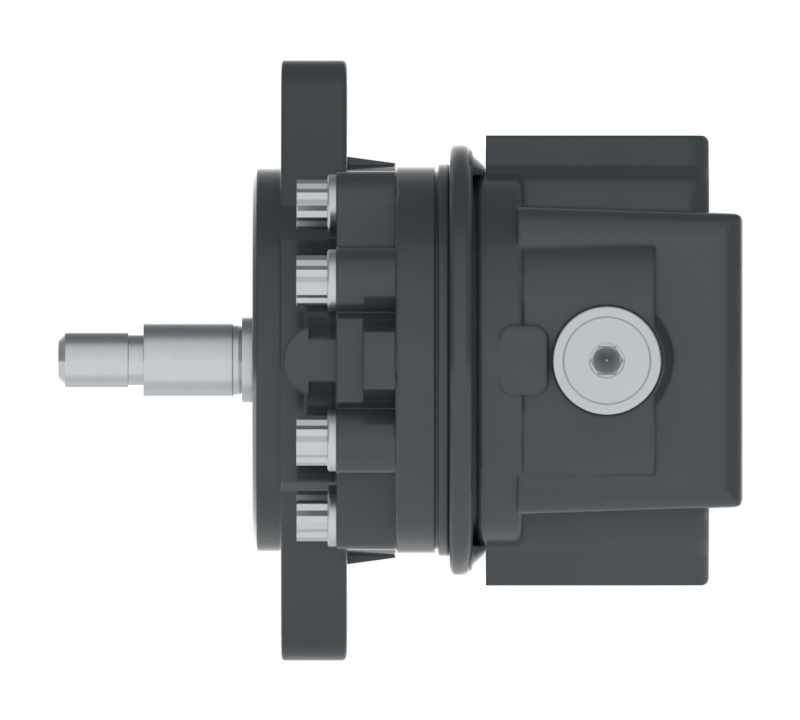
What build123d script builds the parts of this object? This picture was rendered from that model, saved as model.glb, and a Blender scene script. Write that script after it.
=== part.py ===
"""Hydraulic gear motor: two meshing gears in a cast body, driven by oil, with a two-bolt flange.

X runs along the shaft, from the threaded shaft end to the rear of the motor. The origin is on the
shaft axis in the mounting face. Y runs across both gear axes, with the driven gear on the -Y side,
and Z points up through the upper port. All sizes are in millimetres.
"""
from build123d import *
import math
import os

os.makedirs("parts", exist_ok=True)

# Mounting flange and pilot
pilot_radius = 41.275
pilot_length = 6.0
pilot_chamfer_length = 0.9
pilot_chamfer_depth = 1.6
plate_thickness = 5.4
lug_hole_spacing = 106.4
lug_hole_radius = 5.55
lug_end_radius = 11.25
lug_root_radius = 40.2
lug_thickness = 14.2
lug_foot_z = 26.0
lug_flare_z = 29.6
lug_plate_radius = 44.0
lug_gusset_height = 1.4
lug_gusset_half_width = 6.0
lug_front_round = 0.7
lug_rear_round = 1.2

# Gears
gear_module = 3.0
tooth_count = 12
pressure_angle = 28.0
backlash = 0.12
root_factor = 1.25
gear_width = 26.0
gear_side_gap = 0.04
centre_distance = gear_module * tooth_count
pitch_radius = centre_distance / 2
tip_radius = pitch_radius + gear_module
root_radius = pitch_radius - root_factor * gear_module
base_radius = pitch_radius * math.cos(math.radians(pressure_angle))

# Bearings
gear_journal_radius = 10.0
journal_clearance = 0.03
bush_wall = 2.5
block_length = 15.0
chamber_clearance = 0.05
journal_end_gap = 0.5

# Shaft outside the cover, from the collar to the threaded end
collar_radius = 9.3
collar_reach = 8.4
cone_length = 0.7
neck_radius = 7.6
neck_length = 1.3
shaft_end_radius = 7.9375
shaft_end_length = 19.1
relief_radius = 5.5
relief_length = 3.3
thread_radius = 6.0
thread_length = 15.0
thread_chamfer_length = 1.5
thread_chamfer_depth = 1.6
keyway_width = 4.0
keyway_depth = 2.3
keyway_length = 13.0

# Front cover
joint_x = 36.0
ear_front_x = 12.0
drum_front_x = 24.5
cover_radius = 41.4
far_arc_y = 28.0
crown_radius = 42.3
lobe_radius = 7.2
web_slope = 1.7
drum_edge_round = 0.8
groove_width = 0.8
groove_depth = 0.9
lip_width = 2.3
lip_radius = 42.0
lip_round = 0.6

# Middle of the front cover's near and far sides, between the inner bolts; drops are from the face named
neck_setback = 11.4
neck_flat = 4.3
neck_foot = 7.8
neck_foot_drop = 3.6
neck_shoulder = 18.0
neck_shoulder_drop = 8.8
port_boss_radius = 7.35
port_boss_x = 8.1
port_boss_end_x = 6.2
pad_setback = 6.6
pad_length = 5.7
pad_half_width = 7.1
pad_strip = 8.9
pad_strip_drop = 0.5
valley_foot = 10.8
valley_drop = 3.4
ridge_half_width = 5.9
ridge_foot = 8.3
ridge_foot_rise = 0.4

# Bolts
inner_bolt_angle = 29.8
outer_bolt_angle = 76.1
bolt_radius = 3.0
bolt_hole_clearance = 0.3
bolt_engagement = 12.0
bolt_hole_spare = 1.5
bolt_collar_radius = 6.6
bolt_collar_height = 1.9
bolt_collar_round = 0.5
bolt_head_radius = 5.35
bolt_head_height = 6.65
bolt_turn_step = 1.0
bolt_seat_gap = 0.05

# Shaft seal in the cover
seal_radius = 16.5
seal_length = 7.0
seal_lip_clearance = 0.02
seal_shell = 1.6
seal_lip_reach = 2.4
spring_wire_radius = 0.8
washer_thickness = 1.6
washer_bore_gap = 0.7
ring_thickness = 1.2
ring_seat_depth = 0.9
ring_width = 2.4
ring_opening = 36.0
ring_setback = 1.3
ring_eye_radius = 1.9
ring_eye_turn = 7.0
cover_bore_gap = 0.8

# Body
rim_radius = 46.1
rim_width = 5.0
rim_front_round = 1.4
rim_rear_round = 2.2
neck_groove_radius = 39.6
neck_groove_width = 0.8
rim_flank_z = 39.5
rim_flank_radius = 44.6
rim_flank_length = 3.4
rim_flank_slope = 43.0
body_flange_radius = 41.0
body_flange_end_x = 51.7
body_flange_round = 1.2
rear_wall = 6.4
rear_block_half_height = 32.8
rear_block_near_y = -69.0
rear_block_far_y = 33.0
rear_block_round = 6.0
rear_edge_round = 5.5
rear_block_draft = 1.9

# Port bosses above and below the gears
boss_front_x = 43.8
boss_length = 47.6
boss_reach = 48.0
boss_crease_x = 79.2
boss_turn_x = 85.0
boss_turn_inset = 0.6
boss_corner_turn = 62.0
boss_corner_steps = 4
boss_top_half_width = 22.0
boss_shoulder_z = 41.5
boss_shoulder_half_width = 25.75
boss_hip_z = 38.5
boss_hip_half_width = 29.3
boss_flank_z = 35.6
boss_flank_half_width = 30.7
boss_foot_z = 32.4
boss_foot_half_width = 31.2
port_thread_radius = 12.25
port_thread_depth = 17.0
port_bore_radius = 9.0

# Raised pad, key bump and plug on the near side of the body
side_pad_end_x = 79.6
side_pad_flat = 12.5
side_pad_half_height = 24.3
side_pad_flank_radius = 15.5
side_pad_height = 5.0
bump_length = 5.1
bump_half_width = 7.4
bump_corner = 3.0
bump_height = 3.0
plug_x = 69.4
plug_head_radius = 11.5
plug_head_thickness = 2.6
plug_edge_round = 0.4
plug_stub_radius = 8.3
plug_stub_length = 10.0
plug_socket_radius = 3.75
plug_socket_across_flats = 6.0
plug_socket_depth = 4.6
plug_drill_radius = 2.9
plug_drill_depth = 1.6
plug_drill_slope = 59.0
plug_line_radius = 9.1
plug_line_width = 0.25
plug_line_depth = 0.15
plug_boss_radius = 12.2
plug_boss_draft = 19.0
plug_boss_root = 1.0
plug_hole_spare = 1.0
plug_seal_radius = 11.9
plug_seal_thickness = 1.4
drain_radius = 2.5

# Dowels, joint seal and the seals on the bearing blocks
dowel_radius = 3.0
dowel_length = 14.0
dowel_z = 34.0
joint_seal_radius = 25.6
joint_seal_width = 2.2
joint_seal_thickness = 2.0
block_seal_outer = 19.0
block_seal_inner = 17.2
block_backup_inner = 15.4
block_seal_thickness = 2.4

# Places worked out from the sizes above
driven_y = -centre_distance
near_arc_y = driven_y
mid_gear_y = driven_y / 2
oval_span = far_arc_y - near_arc_y
oval_mid_y = (far_arc_y + near_arc_y) / 2
bolt_circle_radius = cover_radius - lobe_radius
inner_bolt_z = bolt_circle_radius * math.sin(math.radians(inner_bolt_angle))
outer_bolt_z = bolt_circle_radius * math.sin(math.radians(outer_bolt_angle))
gear_front_x = joint_x + block_length + gear_side_gap
gear_back_x = gear_front_x + gear_width
rear_block_x = gear_back_x + gear_side_gap
chamber_end_x = rear_block_x + block_length
rear_end_x = chamber_end_x + rear_wall
chamber_radius = tip_radius + chamber_clearance
block_radius = tip_radius
bush_outer_radius = gear_journal_radius + bush_wall
bush_bore_radius = gear_journal_radius + journal_clearance
port_x = boss_front_x + boss_length / 2
seal_front_x = ring_setback + ring_thickness - pilot_length
seal_pocket_end_x = seal_front_x + seal_length + washer_thickness
pad_face_y = rear_block_near_y - side_pad_height


def across(x):
    """Plane square to the shaft at x, with its own x along Y and its own y along Z."""
    return Plane.YZ.offset(x)


def arc_point(side, z):
    """Y of the bolt circle at height z, on the near (-1) or far (+1) side."""
    centre_y = near_arc_y if side < 0 else far_arc_y
    return centre_y + side * math.sqrt(bolt_circle_radius**2 - z**2)


def oval(radius):
    """Oval outline around both arc centres."""
    with Locations((oval_mid_y, 0)):
        SlotCenterToCenter(oval_span, 2 * radius)


def figure_eight(radius, mode=Mode.ADD):
    """Two circles, one on each gear axis."""
    with Locations((0, 0), (driven_y, 0)):
        Circle(radius, mode=mode)


def gear_loop(radius, mode=Mode.ADD):
    """Straight-sided loop around both gear axes."""
    with Locations((mid_gear_y, 0)):
        SlotCenterToCenter(centre_distance, 2 * radius, mode=mode)


outer_bolts = [(arc_point(side, outer_bolt_z), sign * outer_bolt_z) for side in (-1, 1) for sign in (-1, 1)]
inner_bolts = [(arc_point(side, inner_bolt_z), sign * inner_bolt_z) for side in (-1, 1) for sign in (-1, 1)]
bolt_places = outer_bolts + inner_bolts
dowel_places = [(oval_mid_y, -dowel_z), (oval_mid_y, dowel_z)]


# Front cover: the drum that meets the body, rounded before the rest is added
with BuildPart() as front_cover:
    drum_length = joint_x - drum_front_x
    with BuildSketch(across(drum_front_x)):
        oval(cover_radius)
    extrude(amount=drum_length - lip_width - groove_width)
    fillet(front_cover.edges().group_by(Axis.X)[0], drum_edge_round)
    with BuildSketch(across(joint_x - lip_width - groove_width)):
        oval(cover_radius - groove_depth)
    extrude(amount=groove_width)
    with BuildSketch(across(joint_x - lip_width)):
        oval(lip_radius)
    extrude(amount=lip_width)
    fillet(front_cover.edges().group_by(Axis.X)[-1], lip_round)

    # Two-lug flange with its plate and pilot, the lugs flaring out to the plate
    flank_turn = math.asin((lug_root_radius - lug_end_radius) / (lug_hole_spacing / 2))
    foot_y = math.sqrt(lug_plate_radius**2 - lug_foot_z**2)
    flare_y = (lug_root_radius - lug_flare_z * math.sin(flank_turn)) / math.cos(flank_turn)
    with BuildSketch(across(0)):
        Circle(lug_root_radius)
        with Locations((0, lug_hole_spacing / 2), (0, -lug_hole_spacing / 2)):
            Circle(lug_end_radius)
        make_hull()
    extrude(amount=lug_thickness)
    lug_edges = front_cover.edges().filter_by(lambda edge: abs(edge.center().Z) > cover_radius)
    fillet(lug_edges.group_by(Axis.X)[0], lug_front_round)
    lug_edges = front_cover.edges().filter_by(lambda edge: abs(edge.center().Z) > cover_radius)
    fillet(lug_edges.filter_by_position(Axis.X, lug_thickness, lug_thickness), lug_rear_round)
    with BuildSketch(across(0)):
        Circle(lug_plate_radius)
        Rectangle(2 * lug_plate_radius, 2 * lug_foot_z, mode=Mode.INTERSECT)
        for side in (-1, 1):
            for sign in (-1, 1):
                Polygon(
                    (side * foot_y, sign * lug_foot_z),
                    (side * flare_y, sign * lug_flare_z),
                    (0, sign * lug_flare_z),
                    (0, sign * lug_foot_z),
                    align=None,
                )
    extrude(amount=ear_front_x)
    with BuildSketch(across(0)):
        Circle(crown_radius)
    extrude(amount=drum_front_x)
    for sign in (-1, 1):
        with BuildSketch(Plane.XZ):
            Polygon(
                (lug_thickness, sign * crown_radius),
                (lug_thickness, sign * (crown_radius + lug_gusset_height)),
                (drum_front_x, sign * crown_radius),
                (lug_thickness, 0),
                align=None,
            )
        extrude(amount=lug_gusset_half_width, both=True)
    with BuildSketch(across(0)):
        Circle(pilot_radius)
    extrude(amount=-pilot_length)
    pilot_edge = front_cover.edges().group_by(Axis.X)[0]
    chamfer(pilot_edge, length=pilot_chamfer_length, length2=pilot_chamfer_depth)

    # Bolt ears: a lobe on each bolt, webs between the outer ones and fingers out to the inner ones
    with BuildSketch(across(ear_front_x)):
        with Locations(*outer_bolts):
            Circle(lobe_radius)
        make_hull()
        for side in (-1, 1):
            web_y = arc_point(side, outer_bolt_z) + side * lobe_radius
            finger_y = arc_point(side, inner_bolt_z)
            finger_edge = inner_bolt_z + lobe_radius
            with BuildLine():
                Polyline(
                    (web_y - side * web_slope, outer_bolt_z),
                    (web_y, outer_bolt_z),
                    (web_y + side * web_slope, finger_edge),
                    (web_y + side * web_slope, -finger_edge),
                    (web_y, -outer_bolt_z),
                    (web_y - side * web_slope, -outer_bolt_z),
                    close=True,
                )
            make_face()
            with Locations(((web_y + finger_y) / 2, 0)):
                Rectangle(abs(finger_y - web_y), 2 * finger_edge)
            with Locations((finger_y, inner_bolt_z), (finger_y, -inner_bolt_z)):
                Circle(lobe_radius)
    extrude(amount=drum_front_x - ear_front_x)

    # Between the inner bolts: neck, pad and ridge over the valley that leads to the drum
    for side in (-1, 1):
        side_y = near_arc_y if side < 0 else far_arc_y
        face_y = side_y + side * (cover_radius - pad_setback)
        neck_y = side_y + side * (cover_radius - neck_setback)
        ridge_y = side_y + side * cover_radius
        floor_y = face_y - side * valley_drop
        neck = [
            (neck_y, neck_flat),
            (neck_y - side * neck_foot_drop, neck_foot),
            (neck_y - side * neck_shoulder_drop, neck_shoulder),
            (0, neck_shoulder),
        ]
        pad = [
            (face_y, pad_half_width),
            (face_y - side * pad_strip_drop, pad_strip),
            (floor_y, valley_foot),
            (floor_y, inner_bolt_z),
            (side_y, inner_bolt_z),
        ]
        ridge = [
            (ridge_y, ridge_half_width),
            (face_y + side * ridge_foot_rise, ridge_foot),
            (face_y - side * pad_strip_drop, pad_strip),
            (floor_y, valley_foot),
            (floor_y, inner_bolt_z),
            (side_y, inner_bolt_z),
        ]
        for start_x, end_x, upper in (
            (plate_thickness, ear_front_x, neck),
            (ear_front_x, ear_front_x + pad_length, pad),
            (ear_front_x + pad_length, drum_front_x, ridge),
        ):
            lower = [(y, -z) for y, z in reversed(upper)]
            with BuildSketch(across(start_x)):
                Polygon(*upper, *lower, align=None)
                with Locations((side_y, 0)):
                    Circle(cover_radius, mode=Mode.INTERSECT)
            extrude(amount=end_x - start_x)

    # Round end of the near neck, cut off where the neck begins
    near_neck_y = near_arc_y - cover_radius + neck_setback
    with BuildSketch(Plane.XZ.offset(-near_neck_y)):
        with Locations((port_boss_x, 0)):
            Circle(port_boss_radius)
        with Locations((port_boss_end_x - port_boss_radius, 0)):
            Rectangle(2 * port_boss_radius, 2 * port_boss_radius, mode=Mode.INTERSECT)
    extrude(amount=near_neck_y)

    # Bolt seats, kept clear of the plate and the crown
    with BuildSketch(across(ear_front_x)):
        with Locations(*bolt_places):
            Circle(bolt_collar_radius + bolt_seat_gap)
    extrude(amount=-ear_front_x, mode=Mode.SUBTRACT)

    # Shaft bore, seal pocket with its ring groove, lug holes, bolt holes and dowel holes
    with BuildSketch(across(-pilot_length)):
        Circle(seal_radius)
    extrude(amount=pilot_length + seal_pocket_end_x, mode=Mode.SUBTRACT)
    with BuildSketch(across(ring_setback - pilot_length)):
        Circle(seal_radius + ring_seat_depth)
    extrude(amount=ring_thickness, mode=Mode.SUBTRACT)
    with BuildSketch(across(seal_pocket_end_x)):
        Circle(collar_radius + cover_bore_gap)
    extrude(amount=joint_x - seal_pocket_end_x, mode=Mode.SUBTRACT)
    with BuildSketch(across(0)):
        with Locations((0, lug_hole_spacing / 2), (0, -lug_hole_spacing / 2)):
            Circle(lug_hole_radius)
    extrude(amount=lug_thickness, mode=Mode.SUBTRACT)
    with BuildSketch(across(ear_front_x)):
        with Locations(*bolt_places):
            Circle(bolt_radius + bolt_hole_clearance)
    extrude(amount=joint_x - ear_front_x, mode=Mode.SUBTRACT)
    with BuildSketch(across(joint_x)):
        with Locations(*dowel_places):
            Circle(dowel_radius)
    extrude(amount=-dowel_length / 2, mode=Mode.SUBTRACT)
front_cover.part.label = "front_cover"
export_step(front_cover.part, "parts/front_cover.step")


# Rim of the body, rounded more at the rear
rim_end_x = joint_x + rim_width
with BuildPart() as rim:
    with BuildSketch(across(joint_x)):
        oval(rim_radius)
    extrude(amount=rim_width)
    fillet(rim.edges().group_by(Axis.X)[0], rim_front_round)
    fillet(rim.edges().group_by(Axis.X)[-1], rim_rear_round)

# Flange behind the rim
flange_front_x = rim_end_x + neck_groove_width
with BuildPart() as body_flange:
    with BuildSketch(across(flange_front_x)):
        oval(body_flange_radius)
    extrude(amount=body_flange_end_x - flange_front_x)
    fillet(body_flange.edges().group_by(Axis.X)[0], body_flange_round)
    fillet(body_flange.edges().group_by(Axis.X)[-1], body_flange_round)

# Sloping flanks that lead from the rim to each port boss
with BuildPart() as rim_flanks:
    with BuildSketch(across(rim_end_x - rim_flank_length / 4)):
        oval(rim_flank_radius)
    extrude(amount=rim_flank_length, taper=rim_flank_slope)
    with BuildSketch(across(joint_x)):
        with Locations((oval_mid_y, 0)):
            Rectangle(2 * (oval_span + rim_radius), 2 * rim_flank_z)
    extrude(amount=boss_length, mode=Mode.SUBTRACT)


# Body: the rear block around the gears first, its rear corners rounded in plan
with BuildPart() as body:
    block_front_x = body_flange_end_x - body_flange_round
    block_mid_y = (rear_block_near_y + rear_block_far_y) / 2
    block_width = rear_block_far_y - rear_block_near_y
    with BuildSketch(across(block_front_x)):
        with Locations((block_mid_y, 0)):
            RectangleRounded(block_width, 2 * rear_block_half_height, rear_block_round)
    extrude(amount=rear_end_x - block_front_x, taper=rear_block_draft)
    drawn_in = (rear_end_x - block_front_x) * math.tan(math.radians(rear_block_draft))
    with BuildSketch(Plane.XY.offset(-rear_block_half_height)) as plan:
        Polygon(
            (block_front_x, rear_block_near_y),
            (rear_end_x, rear_block_near_y + drawn_in),
            (rear_end_x, rear_block_far_y - drawn_in),
            (block_front_x, rear_block_far_y),
            align=None,
        )
        fillet(plan.vertices().group_by(Axis.X)[-1], rear_edge_round)
    extrude(amount=2 * rear_block_half_height, mode=Mode.INTERSECT)

    # Rim, its flanks, the groove behind it and the flange
    add(rim.part)
    add(rim_flanks.part)
    with BuildSketch(across(rim_end_x)):
        oval(neck_groove_radius)
    extrude(amount=neck_groove_width)
    add(body_flange.part)

    # Port bosses: one prism through the body, its rear corners turned in by lofted sections
    boss_mid_y = mid_gear_y
    boss_end_x = boss_front_x + boss_length

    def boss_section(inset):
        """Outline of both bosses, drawn in by inset on each side: two flats and a curved flank."""
        with BuildLine() as outline:
            for side in (-1, 1):
                foot_y = boss_mid_y + side * (boss_foot_half_width - inset)
                Line((foot_y, boss_foot_z), (foot_y, -boss_foot_z))
                for sign in (-1, 1):
                    hip = (boss_mid_y + side * (boss_hip_half_width - inset), sign * boss_hip_z)
                    flank = (boss_mid_y + side * (boss_flank_half_width - inset), sign * boss_flank_z)
                    ThreePointArc((foot_y, sign * boss_foot_z), flank, hip)
                    Polyline(
                        hip,
                        (boss_mid_y + side * (boss_shoulder_half_width - inset), sign * boss_shoulder_z),
                        (boss_mid_y + side * (boss_top_half_width - inset), sign * boss_reach),
                        (boss_mid_y, sign * boss_reach),
                    )
        make_face(outline.edges())

    with BuildSketch(across(boss_front_x)):
        boss_section(0)
    extrude(amount=boss_crease_x - boss_front_x)
    with BuildSketch(across(boss_crease_x)):
        boss_section(0)
    with BuildSketch(across(boss_turn_x)):
        boss_section(boss_turn_inset)
    for step in range(1, boss_corner_steps + 1):
        turn = math.radians(boss_corner_turn * step / boss_corner_steps)
        corner_reach = (boss_end_x - boss_turn_x) / math.sin(math.radians(boss_corner_turn))
        with BuildSketch(across(boss_turn_x + corner_reach * math.sin(turn))):
            boss_section(boss_turn_inset + corner_reach * (1 - math.cos(turn)))
    loft(ruled=True)

    # Raised pad on the near side, with curved flanks
    flank_angle = math.asin((side_pad_half_height - side_pad_flat) / side_pad_flank_radius)
    flank_drop = side_pad_flank_radius * (1 - math.cos(flank_angle))
    with BuildSketch(across(body_flange_end_x)):
        with BuildLine():
            Line((pad_face_y, side_pad_flat), (pad_face_y, -side_pad_flat))
            upper = TangentArc(
                (pad_face_y, side_pad_flat),
                (pad_face_y + flank_drop, side_pad_half_height),
                tangent=(0, 1),
            )
            lower = TangentArc(
                (pad_face_y, -side_pad_flat),
                (pad_face_y + flank_drop, -side_pad_half_height),
                tangent=(0, -1),
            )
            Polyline(
                upper @ 1,
                (rear_block_near_y + rear_block_round, side_pad_half_height),
                (rear_block_near_y + rear_block_round, -side_pad_half_height),
                lower @ 1,
            )
        make_face()
    extrude(amount=side_pad_end_x - body_flange_end_x)

    # Bump where the pad meets the flange
    with BuildSketch(Plane.XZ.offset(-pad_face_y)):
        with Locations((body_flange_end_x, 0)):
            RectangleRounded(2 * bump_length, 2 * bump_half_width, bump_corner)
    extrude(amount=bump_height)

    # Plug boss with sloping sides
    with BuildSketch(Plane.XZ.offset(-pad_face_y)):
        with Locations((plug_x, 0)):
            Circle(plug_boss_radius)
    extrude(amount=-(side_pad_height + plug_boss_root), taper=-plug_boss_draft)

    # Gear chamber, joint seal groove, dowel holes and bolt holes from the joint face
    with BuildSketch(across(joint_x)):
        figure_eight(chamber_radius)
    extrude(amount=chamber_end_x - joint_x, mode=Mode.SUBTRACT)
    with BuildSketch(across(joint_x)):
        gear_loop(joint_seal_radius)
        gear_loop(joint_seal_radius - joint_seal_width, mode=Mode.SUBTRACT)
    extrude(amount=joint_seal_thickness, mode=Mode.SUBTRACT)
    with BuildSketch(across(joint_x)):
        with Locations(*dowel_places):
            Circle(dowel_radius)
    extrude(amount=dowel_length / 2, mode=Mode.SUBTRACT)
    with BuildSketch(across(joint_x)):
        with Locations(*bolt_places):
            Circle(bolt_radius)
    extrude(amount=bolt_engagement + bolt_hole_spare, mode=Mode.SUBTRACT)

    # Ports from the top and the bottom into the gear chamber
    for side in (-1, 1):
        with BuildSketch(Plane.XY.offset(side * boss_reach)):
            with Locations((port_x, mid_gear_y)):
                Circle(port_thread_radius)
        extrude(amount=-side * port_thread_depth, mode=Mode.SUBTRACT)
        with BuildSketch(Plane.XY.offset(side * boss_reach)):
            with Locations((port_x, mid_gear_y)):
                Circle(port_bore_radius)
        extrude(amount=-side * boss_reach, mode=Mode.SUBTRACT)

    # Plug hole from the near side
    with BuildSketch(Plane.XZ.offset(-pad_face_y)):
        with Locations((plug_x, 0)):
            Circle(plug_stub_radius)
    extrude(amount=-(plug_stub_length + plug_hole_spare), mode=Mode.SUBTRACT)
    with BuildSketch(Plane.XZ.offset(-pad_face_y)):
        with Locations((plug_x, 0)):
            Circle(drain_radius)
    extrude(amount=-(driven_y - pad_face_y), mode=Mode.SUBTRACT)
body.part.label = "body"
export_step(body.part, "parts/body.step")


def half_tooth_angle(radius):
    """Half the angle that a tooth spans at a radius, with the backlash taken off."""
    pitch_half = (math.pi * gear_module / 2 - backlash) / (2 * pitch_radius)
    base_cosine = min(1.0, base_radius / radius)
    roll = math.acos(base_cosine)
    pitch_roll = math.radians(pressure_angle)
    return pitch_half + (math.tan(pitch_roll) - pitch_roll) - (math.tan(roll) - roll)


def flank_point(radius, sign):
    """Point of a tooth flank at a radius; the tooth points along the sketch's x."""
    turn = sign * half_tooth_angle(radius)
    return (radius * math.cos(turn), radius * math.sin(turn))


flank_steps = 5
flank_depth = tip_radius - base_radius
flank_radii = [base_radius + flank_depth * step / flank_steps for step in range(flank_steps + 1)]


def tooth_outline():
    """One tooth from inside the root circle to the tip."""
    foot_radius = root_radius - gear_module / 4
    foot_turn = half_tooth_angle(base_radius)
    feet = [(foot_radius * math.cos(turn), foot_radius * math.sin(turn)) for turn in (foot_turn, -foot_turn)]
    with BuildLine() as outline:
        left = Spline(*[flank_point(radius, 1) for radius in flank_radii])
        right = Spline(*[flank_point(radius, -1) for radius in flank_radii])
        ThreePointArc(left @ 1, (tip_radius, 0), right @ 1)
        Polyline(left @ 0, feet[0], feet[1], right @ 0)
    make_face(outline.edges())


def gear_outline(centre_y, first_tooth):
    """Gear outline with its first tooth turned by first_tooth degrees."""
    with BuildSketch(Plane.XY, mode=Mode.PRIVATE) as tooth:
        tooth_outline()
    with Locations((centre_y, 0)):
        Circle(root_radius)
    for index in range(tooth_count):
        turn = first_tooth + 360 * index / tooth_count
        add(tooth.sketch.rotate(Axis.Z, turn).move(Location((centre_y, 0, 0))))


# Drive gear and shaft in one piece of steel
thread_end_x = -(collar_reach + neck_length + cone_length + shaft_end_length + relief_length + thread_length)
shaft_end_back_x = -(collar_reach + cone_length + neck_length)
shaft_end_front_x = shaft_end_back_x - shaft_end_length
relief_front_x = shaft_end_front_x - relief_length
with BuildPart() as drive_gear:
    with BuildSketch(Plane.XY):
        with BuildLine():
            Polyline(
                (thread_end_x, 0),
                (thread_end_x, thread_radius - thread_chamfer_depth),
                (thread_end_x + thread_chamfer_length, thread_radius),
                (relief_front_x, thread_radius),
                (relief_front_x, relief_radius),
                (shaft_end_front_x, relief_radius),
                (shaft_end_front_x, shaft_end_radius),
                (shaft_end_back_x, shaft_end_radius),
                (shaft_end_back_x, neck_radius),
                (-collar_reach - cone_length, neck_radius),
                (-collar_reach, collar_radius),
                (joint_x, collar_radius),
                (joint_x, gear_journal_radius),
                (chamber_end_x - journal_end_gap, gear_journal_radius),
                (chamber_end_x - journal_end_gap, 0),
                close=True,
            )
        make_face()
    revolve(axis=Axis.X)
    with BuildSketch(across(gear_front_x)):
        gear_outline(0, 0)
    extrude(amount=gear_width)
    with BuildSketch(Plane.XZ.offset(-shaft_end_radius)):
        with Locations(((shaft_end_front_x + shaft_end_back_x) / 2, 0)):
            SlotOverall(keyway_length, keyway_width)
    extrude(amount=keyway_depth, mode=Mode.SUBTRACT)
drive_gear.part.label = "drive_gear"
export_step(drive_gear.part, "parts/drive_gear.step")


# Driven gear, half a tooth out of step so that it meshes at rest
with BuildPart() as driven_gear:
    with BuildSketch(across(joint_x + journal_end_gap)):
        with Locations((driven_y, 0)):
            Circle(gear_journal_radius)
    extrude(amount=chamber_end_x - joint_x - 2 * journal_end_gap)
    with BuildSketch(across(gear_front_x)):
        gear_outline(driven_y, 180 / tooth_count)
    extrude(amount=gear_width)
driven_gear.part.label = "driven_gear"
export_step(driven_gear.part, "parts/driven_gear.step")


# Bearing blocks with their bushes, seals and backing rings
for name, front_x, face_x, inward in (
    ("front", joint_x, joint_x, 1),
    ("rear", rear_block_x, chamber_end_x, -1),
):
    with BuildPart() as block:
        with BuildSketch(across(front_x)):
            figure_eight(block_radius)
            figure_eight(bush_outer_radius, mode=Mode.SUBTRACT)
        extrude(amount=block_length)
        with BuildSketch(across(face_x)):
            figure_eight(block_seal_outer)
            figure_eight(block_backup_inner, mode=Mode.SUBTRACT)
        extrude(amount=inward * block_seal_thickness, mode=Mode.SUBTRACT)
    block.part.label = name + "_bearing_block"
    export_step(block.part, "parts/" + name + "_bearing_block.step")

    with BuildPart() as seal:
        with BuildSketch(across(face_x)):
            figure_eight(block_seal_outer)
            figure_eight(block_seal_inner, mode=Mode.SUBTRACT)
        extrude(amount=inward * block_seal_thickness)
    seal.part.label = name + "_block_seal"
    export_step(seal.part, "parts/" + name + "_block_seal.step")

    with BuildPart() as backup:
        with BuildSketch(across(face_x)):
            figure_eight(block_seal_inner)
            figure_eight(block_backup_inner, mode=Mode.SUBTRACT)
        extrude(amount=inward * block_seal_thickness)
    backup.part.label = name + "_block_backup"
    export_step(backup.part, "parts/" + name + "_block_backup.step")

    for gear_name, gear_y in (("drive", 0), ("driven", driven_y)):
        with BuildPart() as bush:
            with BuildSketch(across(front_x)):
                with Locations((gear_y, 0)):
                    Circle(bush_outer_radius)
                    Circle(bush_bore_radius, mode=Mode.SUBTRACT)
            extrude(amount=block_length)
        bush.part.label = name + "_" + gear_name + "_bush"
        export_step(bush.part, "parts/" + name + "_" + gear_name + "_bush.step")


# Joint seal in the body's groove
with BuildPart() as joint_seal:
    with BuildSketch(across(joint_x)):
        gear_loop(joint_seal_radius)
        gear_loop(joint_seal_radius - joint_seal_width, mode=Mode.SUBTRACT)
    extrude(amount=joint_seal_thickness)
joint_seal.part.label = "joint_seal"
export_step(joint_seal.part, "parts/joint_seal.step")


# Lip seal: an outer shell, a back wall and a lip that holds the spring
lip_bore_radius = collar_radius + seal_lip_clearance
lip_outer_radius = lip_bore_radius + seal_lip_reach
spring_x = seal_front_x + seal_length - seal_shell - spring_wire_radius
with BuildPart() as shaft_seal:
    with BuildSketch(Plane.XY):
        with BuildLine():
            Polyline(
                (seal_front_x, seal_radius),
                (seal_front_x + seal_length, seal_radius),
                (seal_front_x + seal_length, seal_radius - seal_shell),
                (seal_front_x + seal_shell, seal_radius - seal_shell),
                (seal_front_x + seal_shell, lip_outer_radius),
                (spring_x + spring_wire_radius, lip_outer_radius),
                (spring_x + spring_wire_radius, lip_bore_radius),
                (seal_front_x, lip_bore_radius + seal_shell),
                close=True,
            )
        make_face()
    revolve(axis=Axis.X)
shaft_seal.part.label = "shaft_seal"
export_step(shaft_seal.part, "parts/shaft_seal.step")

with BuildPart() as shaft_seal_spring:
    with BuildSketch(Plane.XY):
        with Locations((spring_x, lip_outer_radius + spring_wire_radius)):
            Circle(spring_wire_radius)
    revolve(axis=Axis.X)
shaft_seal_spring.part.label = "shaft_seal_spring"
export_step(shaft_seal_spring.part, "parts/shaft_seal_spring.step")

with BuildPart() as seal_washer:
    with BuildSketch(across(seal_front_x + seal_length)):
        Circle(seal_radius)
        Circle(collar_radius + washer_bore_gap, mode=Mode.SUBTRACT)
    extrude(amount=washer_thickness)
seal_washer.part.label = "seal_washer"
export_step(seal_washer.part, "parts/seal_washer.step")

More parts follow.
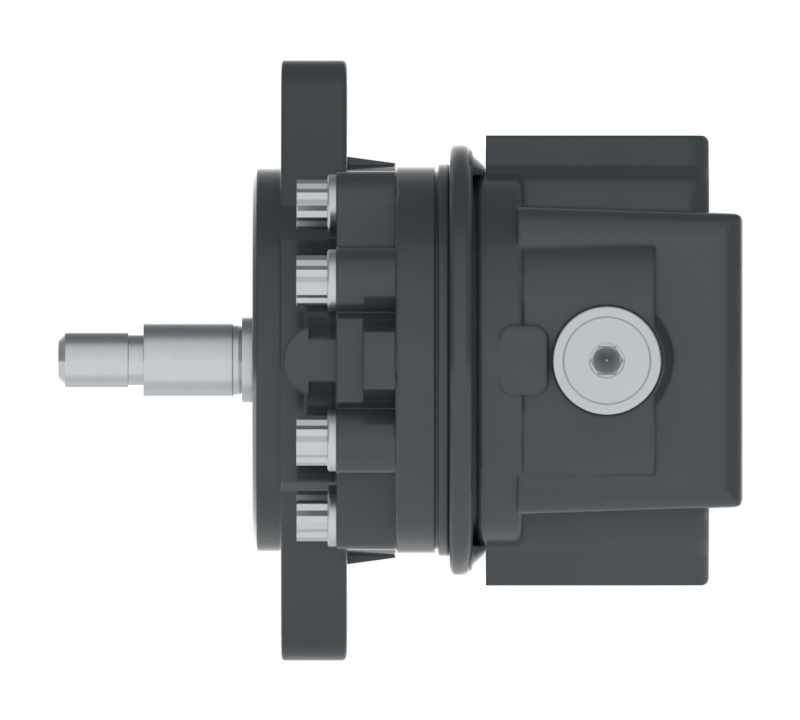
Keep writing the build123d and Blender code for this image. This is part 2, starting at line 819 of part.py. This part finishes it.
# Open retaining ring with a plier eye at each end
with BuildPart() as seal_retaining_ring:
    ring_outer = seal_radius + ring_seat_depth
    ring_inner = seal_radius - ring_width
    eye_places = [
        (ring_inner * math.sin(math.radians(turn)), -ring_inner * math.cos(math.radians(turn)))
        for turn in (-ring_opening / 2 - ring_eye_turn, ring_opening / 2 + ring_eye_turn)
    ]
    with BuildSketch(across(ring_setback - pilot_length)):
        Circle(ring_outer)
        Circle(ring_inner, mode=Mode.SUBTRACT)
        with Locations(Rotation(0, 0, -90)):
            wedge_reach = 2 * ring_outer
            half_opening = math.radians(ring_opening / 2)
            Polygon(
                (0, 0),
                (wedge_reach * math.cos(half_opening), wedge_reach * math.sin(half_opening)),
                (wedge_reach * math.cos(half_opening), -wedge_reach * math.sin(half_opening)),
                align=None,
                mode=Mode.SUBTRACT,
            )
        with Locations(*eye_places):
            Circle(ring_eye_radius)
            Circle(ring_eye_radius / 2, mode=Mode.SUBTRACT)
    extrude(amount=ring_thickness)
seal_retaining_ring.part.label = "seal_retaining_ring"
export_step(seal_retaining_ring.part, "parts/seal_retaining_ring.step")


# Cover bolts: collar and twelve-point head, shank through the cover into the body
with BuildPart() as cover_bolts:
    collar_face_x = ear_front_x - bolt_collar_height
    for index, place in enumerate(bolt_places):
        with BuildSketch(across(collar_face_x)):
            with Locations(place):
                Circle(bolt_collar_radius)
        extrude(amount=bolt_collar_height)
    fillet(cover_bolts.edges().group_by(Axis.X)[0], bolt_collar_round)
    for index, place in enumerate(bolt_places):
        with BuildSketch(across(collar_face_x)):
            with Locations(place):
                for turn in (0, 30):
                    RegularPolygon(bolt_head_radius, 6, rotation=turn + bolt_turn_step * index)
        extrude(amount=-bolt_head_height)
        with BuildSketch(across(ear_front_x)):
            with Locations(place):
                Circle(bolt_radius)
        extrude(amount=joint_x + bolt_engagement - ear_front_x)
cover_bolts.part.label = "cover_bolts"
export_step(cover_bolts.part, "parts/cover_bolts.step")


# Dowel pins across the joint
with BuildPart() as dowel_pins:
    with BuildSketch(across(joint_x - dowel_length / 2)):
        with Locations(*dowel_places):
            Circle(dowel_radius)
    extrude(amount=dowel_length)
dowel_pins.part.label = "dowel_pins"
export_step(dowel_pins.part, "parts/dowel_pins.step")


# Side plug on its sealing washer, with a hexagon socket and a turned line on its face
plug_back_y = pad_face_y - plug_seal_thickness
plug_face_y = plug_back_y - plug_head_thickness
with BuildPart() as side_plug:
    with BuildSketch(Plane.XZ.offset(-plug_back_y)):
        with Locations((plug_x, 0)):
            Circle(plug_head_radius)
    extrude(amount=plug_head_thickness)
    fillet(side_plug.edges().group_by(Axis.Y)[0], plug_edge_round)
    with BuildSketch(Plane.XZ.offset(-plug_back_y)):
        with Locations((plug_x, 0)):
            Circle(plug_stub_radius)
    extrude(amount=-(plug_seal_thickness + plug_stub_length))
    with BuildSketch(Plane.XZ.offset(-plug_face_y)):
        with Locations((plug_x, 0)):
            Circle(plug_line_radius + plug_line_width)
            Circle(plug_line_radius, mode=Mode.SUBTRACT)
    extrude(amount=-plug_line_depth, mode=Mode.SUBTRACT)
    with BuildSketch(Plane.XZ.offset(-plug_face_y)):
        with Locations((plug_x, 0)):
            Circle(plug_socket_radius)
    extrude(amount=-plug_edge_round, mode=Mode.SUBTRACT)
    with BuildSketch(Plane.XZ.offset(-plug_face_y)):
        with Locations((plug_x, 0)):
            RegularPolygon(plug_socket_across_flats / 2, 6, major_radius=False)
    extrude(amount=-plug_socket_depth, mode=Mode.SUBTRACT)
    with BuildSketch(Plane.XZ.offset(-plug_face_y - plug_socket_depth)):
        with Locations((plug_x, 0)):
            Circle(plug_drill_radius)
    extrude(amount=-plug_drill_depth, taper=plug_drill_slope, mode=Mode.SUBTRACT)
side_plug.part.label = "side_plug"
export_step(side_plug.part, "parts/side_plug.step")

with BuildPart() as side_plug_seal:
    with BuildSketch(Plane.XZ.offset(-pad_face_y)):
        with Locations((plug_x, 0)):
            Circle(plug_seal_radius)
            Circle(plug_stub_radius, mode=Mode.SUBTRACT)
    extrude(amount=plug_seal_thickness)
side_plug_seal.part.label = "side_plug_seal"
export_step(side_plug_seal.part, "parts/side_plug_seal.step")
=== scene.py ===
"""Looks of the hydraulic gear motor: finishes, rounded rear corners, soft studio light, floor and camera.

All lengths are in metres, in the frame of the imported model: X along the shaft, Z up, -Y towards the
camera.
"""
import math

import bmesh
import bpy
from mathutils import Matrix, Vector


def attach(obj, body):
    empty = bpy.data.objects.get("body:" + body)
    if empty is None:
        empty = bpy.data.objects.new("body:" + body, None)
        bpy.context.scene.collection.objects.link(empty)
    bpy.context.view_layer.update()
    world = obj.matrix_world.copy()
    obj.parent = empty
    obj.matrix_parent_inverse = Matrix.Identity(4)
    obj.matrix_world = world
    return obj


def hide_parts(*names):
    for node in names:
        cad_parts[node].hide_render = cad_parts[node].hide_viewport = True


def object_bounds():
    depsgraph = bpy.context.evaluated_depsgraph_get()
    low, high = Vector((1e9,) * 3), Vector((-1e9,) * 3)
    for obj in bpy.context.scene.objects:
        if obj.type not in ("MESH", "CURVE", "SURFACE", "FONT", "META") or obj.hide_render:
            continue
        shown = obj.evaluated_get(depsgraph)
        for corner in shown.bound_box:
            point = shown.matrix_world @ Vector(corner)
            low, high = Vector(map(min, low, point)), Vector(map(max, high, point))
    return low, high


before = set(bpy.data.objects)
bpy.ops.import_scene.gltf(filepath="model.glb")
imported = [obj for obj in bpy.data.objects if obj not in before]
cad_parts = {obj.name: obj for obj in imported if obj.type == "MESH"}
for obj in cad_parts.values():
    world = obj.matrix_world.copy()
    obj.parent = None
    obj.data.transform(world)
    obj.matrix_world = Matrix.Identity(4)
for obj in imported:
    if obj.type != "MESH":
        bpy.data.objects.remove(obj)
cad_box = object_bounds()

# Photograph: 800 pixels span the view's width, and the shaft axis is near its middle row
VIEW_WIDTH = 0.1717
VIEW_CENTRE_X = 0.0255
VIEW_CENTRE_Z = 0.0001
CAMERA_DISTANCE = 6.8
CLIP_DISTANCE = 3 * CAMERA_DISTANCE
SENSOR_WIDTH = 36.0

# Dark paint on the castings, under a clear coat: colour, and shares of it where darkest and lightest
PAINT = (0.0347, 0.0448, 0.0525)
PAINT_SHADES = (0.94, 1.05)
PAINT_ROUGHNESS = 0.6
PAINT_SPECULAR = 0.1
COAT_IOR = 1.52
COAT_ROUGHNESS = (0.13, 0.18)
CLOUD_SCALE = 45.0
GRAIN_SCALE = 900.0
GRAIN_DETAIL = 4.0
GRAIN_BUMP = (0.05, 0.00005)

# Softening of edges in the shader
COVER_BEVEL = 0.0008
BODY_BEVEL = 0.0014
METAL_BEVEL = 0.0003
BEVEL_SAMPLES = 6

# Machined metal: fine tool lines, stretched across an axis, and painted shade that darkens recesses
METAL_SHADES = (0.98, 1.015)
METAL_ROUGHNESS_SHARES = (0.93, 1.07)
LINE_SCALE = 60.0
LINE_DETAIL = 5.0
LINE_BUMP = (0.03, 0.00002)
ALONG_X = (12.0, 1.0, 1.0)
ALONG_Y = (1.0, 12.0, 1.0)
EVEN = (4.0, 4.0, 4.0)
# Painted shade in recesses: how far it looks for near faces, its samples, and its depth on the plug
PAINTED_SHADE_REACH = 0.006
PAINTED_SHADE_SAMPLES = 8
PLUG_PAINTED_SHADE = 0.35

# Rubber and plastic
SOFT_SHADES = (0.85, 1.15)
SOFT_ROUGHNESS_SHARES = (0.9, 1.1)
SOFT_DETAIL = 4.0
SOFT_BUMP = (0.15, 0.00005)

# Noise values lie mostly between these
NOISE_LOW = 0.3
NOISE_HIGH = 0.7

# Rear corners of the block and of the port bosses, seen from the side: x, height and rounding
REAR_CORNERS = (
    (0.09848, 0.03121, 0.0021),
    (0.0914, 0.0480, 0.0016),
)
CORNER_STEPS = 6
CORNER_REACH = 3.0

# Points nearer than this are one, when the body's mesh is joined or cut
JOIN_DISTANCE = 1e-6
CUT_DISTANCE = 1e-7

# Floor under the lower lug: size, shades, and its own glow to the camera
FLOOR_GAP = 0.042
FLOOR_HALF_SIZE = 2.0
FLOOR_SHADES = (0.80, 0.83)
FLOOR_ROUGHNESS = 0.9
FLOOR_NOISE_SCALE = 3.0
FLOOR_LIFT = 0.53

# Glow that reflections find on the floor, by the distance behind the shaft axis
FLOOR_STOPS = (
    (-0.300, 0.60),
    (-0.065, 0.64),
    (-0.030, 0.40),
    (0.005, 0.40),
    (0.045, 0.52),
    (0.080, 0.42),
    (0.140, 0.55),
    (0.200, 1.10),
    (0.300, 1.80),
)

# Soft lamp beside the camera, and its spread in degrees
FRONT_POWER = 1.1
FRONT_SPREAD = 20.0

# Light that the table gives back to the underside
GLOW_SIZE = 1.4
GLOW_POWER = 1.7
GLOW_Y = -0.4
GLOW_LIFT = 0.002

# Light by the angle over the top from the camera's side, in degrees: bright in front and behind, dark above
SKY_STOPS = (
    (-180, 2.20),
    (-165, 1.40),
    (-125, 0.75),
    (-90, 0.68),
    (-65, 0.92),
    (-35, 0.98),
    (0, 0.94),
    (45, 0.78),
    (64, 0.62),
    (80, 0.30),
    (100, 0.20),
    (130, 0.22),
    (150, 0.50),
    (165, 1.20),
    (180, 2.20),
)

# The light fades to a low level towards the shaft's two ends
SIDE_LEVEL = 0.33
SIDE_START = 0.45
SIDE_END = 0.85

WHITE = (1, 1, 1, 1)


def new_material(name):
    """Node material with its node tree, shader and object coordinates."""
    material = bpy.data.materials.new(name)
    material.use_nodes = True
    tree = material.node_tree
    shader = tree.nodes["Principled BSDF"]
    place = tree.nodes.new("ShaderNodeTexCoord")
    return material, tree, shader, place.outputs["Object"]


def shades(colour, shares):
    """The colour times each share, up to white."""
    return [[min(1.0, channel * share) for channel in colour] for share in shares]


def noise(tree, place, scale, detail=3.0, stretch=None):
    """Noise value over the object, optionally stretched along an axis."""
    texture = tree.nodes.new("ShaderNodeTexNoise")
    texture.inputs["Scale"].default_value = scale
    texture.inputs["Detail"].default_value = detail
    if stretch:
        mapping = tree.nodes.new("ShaderNodeMapping")
        mapping.inputs["Scale"].default_value = stretch
        tree.links.new(place, mapping.inputs["Vector"])
        place = mapping.outputs["Vector"]
    tree.links.new(place, texture.inputs["Vector"])
    return texture.outputs["Fac"]


def spread(tree, value, low, high):
    """Noise value mapped to low..high."""
    node = tree.nodes.new("ShaderNodeMapRange")
    node.inputs["From Min"].default_value = NOISE_LOW
    node.inputs["From Max"].default_value = NOISE_HIGH
    node.inputs["To Min"].default_value = low
    node.inputs["To Max"].default_value = high
    tree.links.new(value, node.inputs["Value"])
    return node.outputs["Result"]


def tint(tree, value, dark, light):
    """Colour between dark and light by a noise value."""
    ramp = tree.nodes.new("ShaderNodeValToRGB")
    ramp.color_ramp.elements[0].position = NOISE_LOW
    ramp.color_ramp.elements[0].color = (*dark, 1)
    ramp.color_ramp.elements[1].position = NOISE_HIGH
    ramp.color_ramp.elements[1].color = (*light, 1)
    tree.links.new(value, ramp.inputs["Fac"])
    return ramp.outputs["Color"]


def bump(tree, shader, height, strength, distance, bevel_radius=0.0):
    """Bump from a height value, over softened edges if a bevel radius is given."""
    node = tree.nodes.new("ShaderNodeBump")
    node.inputs["Strength"].default_value = strength
    node.inputs["Distance"].default_value = distance
    tree.links.new(height, node.inputs["Height"])
    if bevel_radius:
        bevel = tree.nodes.new("ShaderNodeBevel")
        bevel.samples = BEVEL_SAMPLES
        bevel.inputs["Radius"].default_value = bevel_radius
        tree.links.new(bevel.outputs["Normal"], node.inputs["Normal"])
    for name in ("Normal", "Coat Normal"):
        tree.links.new(node.outputs["Normal"], shader.inputs[name])


def painted_recess_shade(tree, colour, reach, depth):
    """Colour darkened by depth where other faces stand closer than reach: painted shade in recesses."""
    shade = tree.nodes.new("ShaderNodeAmbientOcclusion")
    shade.inputs["Distance"].default_value = reach
    shade.samples = PAINTED_SHADE_SAMPLES
    share = tree.nodes.new("ShaderNodeMapRange")
    share.inputs["To Min"].default_value = 1.0 - depth
    tree.links.new(shade.outputs["AO"], share.inputs["Value"])
    darker = tree.nodes.new("ShaderNodeMix")
    darker.data_type = "RGBA"
    darker.blend_type = "MULTIPLY"
    darker.inputs["Factor"].default_value = 1.0
    tree.links.new(colour, darker.inputs["A"])
    tree.links.new(share.outputs["Result"], darker.inputs["B"])
    return darker.outputs["Result"]


def painted_casting(name, colour, bevel_radius):
    """Dark paint over a fine cast skin, its edges softened by the bevel radius."""
    material, tree, shader, place = new_material(name)
    cloud = noise(tree, place, CLOUD_SCALE)
    grain = noise(tree, place, GRAIN_SCALE, detail=GRAIN_DETAIL)
    tree.links.new(tint(tree, cloud, *shades(colour, PAINT_SHADES)), shader.inputs["Base Color"])
    shader.inputs["Roughness"].default_value = PAINT_ROUGHNESS
    shader.inputs["Specular IOR Level"].default_value = PAINT_SPECULAR
    shader.inputs["Coat Weight"].default_value = 1.0
    shader.inputs["Coat IOR"].default_value = COAT_IOR
    tree.links.new(spread(tree, grain, *COAT_ROUGHNESS), shader.inputs["Coat Roughness"])
    bump(tree, shader, grain, *GRAIN_BUMP, bevel_radius=bevel_radius)
    return material


def turned_metal(name, colour, roughness, stretch, painted_shade_depth=0.0):
    """Machined metal with fine tool lines across the given axis, and painted shade that darkens its
    recesses by the given depth.
    """
    material, tree, shader, place = new_material(name)
    lines = noise(tree, place, LINE_SCALE, detail=LINE_DETAIL, stretch=stretch)
    skin = tint(tree, lines, *shades(colour, METAL_SHADES))
    # Painted shade: the colour is darkened in recesses, where shade falls
    if painted_shade_depth:
        skin = painted_recess_shade(tree, skin, PAINTED_SHADE_REACH, painted_shade_depth)
    tree.links.new(skin, shader.inputs["Base Color"])
    low, high = (roughness * share for share in METAL_ROUGHNESS_SHARES)
    tree.links.new(spread(tree, lines, low, high), shader.inputs["Roughness"])
    shader.inputs["Metallic"].default_value = 1.0
    bump(tree, shader, lines, *LINE_BUMP, bevel_radius=METAL_BEVEL)
    return material


def soft_part(name, colour, roughness, scale):
    """Rubber or plastic with a faint mottled skin."""
    material, tree, shader, place = new_material(name)
    mottle = noise(tree, place, scale, detail=SOFT_DETAIL)
    tree.links.new(tint(tree, mottle, *shades(colour, SOFT_SHADES)), shader.inputs["Base Color"])
    low, high = (roughness * share for share in SOFT_ROUGHNESS_SHARES)
    tree.links.new(spread(tree, mottle, low, high), shader.inputs["Roughness"])
    bump(tree, shader, mottle, *SOFT_BUMP)
    return material


def math_node(tree, operation, first, second=None):
    """Result of a math node on sockets or constants."""
    node = tree.nodes.new("ShaderNodeMath")
    node.operation = operation
    for socket, value in zip(node.inputs, (first, second)):
        if isinstance(value, (int, float)):
            socket.default_value = value
        elif value is not None:
            tree.links.new(value, socket)
    return node.outputs["Value"]


def level_ramp(tree, value, stops):
    """Level that follows the stops along a value."""
    low, high = stops[0][0], stops[-1][0]
    peak = max(level for _, level in stops)
    place = tree.nodes.new("ShaderNodeMapRange")
    place.inputs["From Min"].default_value = low
    place.inputs["From Max"].default_value = high
    tree.links.new(value, place.inputs["Value"])
    ramp = tree.nodes.new("ShaderNodeValToRGB")
    elements = ramp.color_ramp.elements
    while len(elements) < len(stops):
        elements.new(1.0)
    for element, (position, level) in zip(elements, stops):
        element.position = (position - low) / (high - low)
        element.color = (level / peak, level / peak, level / peak, 1)
    tree.links.new(place.outputs["Result"], ramp.inputs["Fac"])
    return math_node(tree, "MULTIPLY", ramp.outputs["Color"], peak)


def round_corner(form, normals, corner_x, corner_z, radius):
    """Rounds the edge that runs along Y through a corner of the side view, by cuts along its arc."""
    side = math.copysign(1, corner_z)
    centre_x = corner_x - radius
    centre_z = corner_z - side * radius
    reach = CORNER_REACH * radius

    def is_near(vert):
        return abs(vert.co.x - corner_x) < reach and abs(vert.co.z - corner_z) < reach

    for step in range(CORNER_STEPS):
        angle = math.radians(90) * (step + 0.5) / CORNER_STEPS
        outward = (math.cos(angle), 0, side * math.sin(angle))
        touch = (centre_x + radius * outward[0], 0, centre_z + radius * outward[2])
        faces = [face for face in form.faces if any(is_near(vert) for vert in face.verts)]
        edges = dict.fromkeys(edge for face in faces for edge in face.edges)
        verts = dict.fromkeys(vert for face in faces for vert in face.verts)
        cut = bmesh.ops.bisect_plane(
            form,
            geom=[*verts, *edges, *faces],
            dist=CUT_DISTANCE,
            plane_co=touch,
            plane_no=outward,
            clear_outer=True,
        )
        rim = [item for item in cut["geom_cut"] if isinstance(item, bmesh.types.BMEdge)]
        for face in bmesh.ops.contextual_create(form, geom=rim)["faces"]:
            face.smooth = True
            for loop in face.loops:
                out = (loop.vert.co.x - centre_x, 0, loop.vert.co.z - centre_z)
                size = math.hypot(*out)
                loop[normals] = [part / size for part in out]
            face.normal_update()
            if face.normal.x < 0:
                face.normal_flip()


def rounded_body():
    """Body with its rear corners rounded, in place of the solid, which has them sharp."""
    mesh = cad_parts["body"].data.copy()
    form = bmesh.new()
    form.from_mesh(mesh)

    # The solid's own normals go along with its corners, and the cuts add theirs
    normals = form.loops.layers.float_vector.new("kept_normal")
    loops = [loop for face in form.faces for loop in face.loops]
    for loop, normal in zip(loops, mesh.corner_normals):
        loop[normals] = normal.vector
    bmesh.ops.remove_doubles(form, verts=form.verts, dist=JOIN_DISTANCE)
    for corner_x, corner_z, radius in REAR_CORNERS:
        for side in (-1, 1):
            round_corner(form, normals, corner_x, side * corner_z, radius)
    kept = [tuple(loop[normals]) for face in form.faces for loop in face.loops]
    form.loops.layers.float_vector.remove(normals)
    form.to_mesh(mesh)
    form.free()
    mesh.normals_split_custom_set(kept)

    piece = bpy.data.objects.new("rounded_body", mesh)
    bpy.context.scene.collection.objects.link(piece)
    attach(piece, "root")
    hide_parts("body")


def studio_sky():
    """White to the camera, and a soft gradient round the shaft's direction that lights the object."""
    world = bpy.data.worlds.new("studio")
    bpy.context.scene.world = world
    world.use_nodes = True
    tree = world.node_tree
    back = tree.nodes["Background"]
    place = tree.nodes.new("ShaderNodeTexCoord")
    split = tree.nodes.new("ShaderNodeSeparateXYZ")
    tree.links.new(place.outputs["Generated"], split.inputs["Vector"])
    forward = math_node(tree, "MULTIPLY", split.outputs["Y"], -1.0)
    angle = math_node(tree, "ARCTAN2", split.outputs["Z"], forward)
    stops = [(math.radians(degrees), level) for degrees, level in SKY_STOPS]
    level = level_ramp(tree, angle, stops)
    sideways = tree.nodes.new("ShaderNodeMapRange")
    sideways.interpolation_type = "SMOOTHSTEP"
    sideways.inputs["From Min"].default_value = SIDE_START
    sideways.inputs["From Max"].default_value = SIDE_END
    tree.links.new(math_node(tree, "ABSOLUTE", split.outputs["X"]), sideways.inputs["Value"])
    blend = tree.nodes.new("ShaderNodeMix")
    blend.inputs["B"].default_value = SIDE_LEVEL
    tree.links.new(sideways.outputs["Result"], blend.inputs["Factor"])
    tree.links.new(level, blend.inputs["A"])
    back.inputs["Color"].default_value = WHITE
    tree.links.new(blend.outputs["Result"], back.inputs["Strength"])
    white = tree.nodes.new("ShaderNodeBackground")
    white.inputs["Color"].default_value = WHITE
    path = tree.nodes.new("ShaderNodeLightPath")
    mix = tree.nodes.new("ShaderNodeMixShader")
    tree.links.new(path.outputs["Is Camera Ray"], mix.inputs["Fac"])
    tree.links.new(back.outputs["Background"], mix.inputs[1])
    tree.links.new(white.outputs["Background"], mix.inputs[2])
    tree.links.new(mix.outputs["Shader"], tree.nodes["World Output"].inputs["Surface"])


def floor():
    """Pale floor below the part, near white to the camera, with its own levels in reflections."""
    low = cad_box[0][2] - FLOOR_GAP
    half = FLOOR_HALF_SIZE
    mesh = bpy.data.meshes.new("floor")
    corners = [(-half, -half, low), (half, -half, low), (half, half, low), (-half, half, low)]
    mesh.from_pydata(corners, [], [(0, 1, 2, 3)])
    plane = bpy.data.objects.new("floor", mesh)
    bpy.context.scene.collection.objects.link(plane)
    material, tree, shader, place = new_material("floor")
    dark, light = ((level, level, level) for level in FLOOR_SHADES)
    skin = tint(tree, noise(tree, place, FLOOR_NOISE_SCALE), dark, light)
    tree.links.new(skin, shader.inputs["Base Color"])
    shader.inputs["Roughness"].default_value = FLOOR_ROUGHNESS
    glow = tree.nodes.new("ShaderNodeEmission")
    path = tree.nodes.new("ShaderNodeLightPath")
    split = tree.nodes.new("ShaderNodeSeparateXYZ")
    tree.links.new(place, split.inputs["Vector"])
    behind = level_ramp(tree, split.outputs["Y"], FLOOR_STOPS)
    seen = math_node(tree, "MULTIPLY", path.outputs["Is Camera Ray"], FLOOR_LIFT)
    mirrored = math_node(tree, "MULTIPLY", path.outputs["Is Glossy Ray"], behind)
    tree.links.new(math_node(tree, "ADD", seen, mirrored), glow.inputs["Strength"])
    total = tree.nodes.new("ShaderNodeAddShader")
    tree.links.new(shader.outputs["BSDF"], total.inputs[0])
    tree.links.new(glow.outputs["Emission"], total.inputs[1])
    tree.links.new(total.outputs["Shader"], tree.nodes["Material Output"].inputs["Surface"])
    mesh.materials.append(material)


def add_lamp(data, location, rotation):
    """Lamp that lights the object, but is neither seen nor mirrored."""
    lamp = bpy.data.objects.new(data.name, data)
    lamp.location = location
    lamp.rotation_euler = rotation
    lamp.visible_camera = False
    lamp.visible_glossy = False
    bpy.context.scene.collection.objects.link(lamp)


def table_glow():
    """Soft light from the table on the lower sides."""
    data = bpy.data.lights.new("table_glow", "AREA")
    data.size = GLOW_SIZE
    data.energy = GLOW_POWER
    add_lamp(data, (VIEW_CENTRE_X, GLOW_Y, cad_box[0][2] - FLOOR_GAP + GLOW_LIFT), (math.pi, 0, 0))


def front_light():
    """Even light from the camera's side into the recesses."""
    data = bpy.data.lights.new("front_light", "SUN")
    data.energy = FRONT_POWER
    data.angle = math.radians(FRONT_SPREAD)
    add_lamp(data, (VIEW_CENTRE_X, -CAMERA_DISTANCE, VIEW_CENTRE_Z), (math.radians(90), 0, 0))


def camera():
    """Long lens square to the shaft, framed as the photograph."""
    data = bpy.data.cameras.new("camera")
    data.sensor_width = SENSOR_WIDTH
    data.lens = SENSOR_WIDTH * CAMERA_DISTANCE / VIEW_WIDTH
    data.clip_end = CLIP_DISTANCE
    camera_object = bpy.data.objects.new("camera", data)
    camera_object.location = (VIEW_CENTRE_X, -CAMERA_DISTANCE, VIEW_CENTRE_Z)
    camera_object.rotation_euler = (math.radians(90), 0, 0)
    bpy.context.scene.collection.objects.link(camera_object)
    bpy.context.scene.camera = camera_object


cover_paint = painted_casting("cover_paint", PAINT, COVER_BEVEL)
body_paint = painted_casting("body_paint", PAINT, BODY_BEVEL)
shaft_steel = turned_metal("shaft_steel", (0.585, 0.625, 0.65), 0.20, ALONG_X)
gear_steel = turned_metal("gear_steel", (0.50, 0.50, 0.51), 0.28, ALONG_X)
plated_steel = turned_metal("plated_steel", (0.595, 0.637, 0.659), 0.32, EVEN)
# The plug's socket gets painted shade, darker in its recess
plug_steel = turned_metal("plug_steel", (0.566, 0.615, 0.644), 0.34, ALONG_Y, painted_shade_depth=PLUG_PAINTED_SHADE)
aluminium = turned_metal("block_aluminium", (0.70, 0.70, 0.71), 0.36, ALONG_X)
bronze = turned_metal("bush_bronze", (0.62, 0.44, 0.24), 0.34, ALONG_X)
spring_steel = turned_metal("spring_steel", (0.22, 0.22, 0.23), 0.40, EVEN)
rubber = soft_part("seal_rubber", (0.022, 0.022, 0.023), 0.62, 700.0)
plastic = soft_part("backup_plastic", (0.62, 0.58, 0.50), 0.45, 500.0)

FINISHES = {
    "front_cover": cover_paint,
    "body": body_paint,
    "drive_gear": shaft_steel,
    "driven_gear": gear_steel,
    "front_bearing_block": aluminium,
    "rear_bearing_block": aluminium,
    "front_drive_bush": bronze,
    "front_driven_bush": bronze,
    "rear_drive_bush": bronze,
    "rear_driven_bush": bronze,
    "front_block_seal": rubber,
    "rear_block_seal": rubber,
    "front_block_backup": plastic,
    "rear_block_backup": plastic,
    "joint_seal": rubber,
    "shaft_seal": rubber,
    "shaft_seal_spring": spring_steel,
    "seal_washer": plated_steel,
    "seal_retaining_ring": spring_steel,
    "cover_bolts": plated_steel,
    "dowel_pins": gear_steel,
    "side_plug": plug_steel,
    "side_plug_seal": rubber,
}
for node, material in FINISHES.items():
    for material_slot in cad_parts[node].material_slots:
        material_slot.material = material

rounded_body()
studio_sky()
floor()
table_glow()
front_light()
camera()
bpy.context.scene.view_settings.view_transform = "Standard"
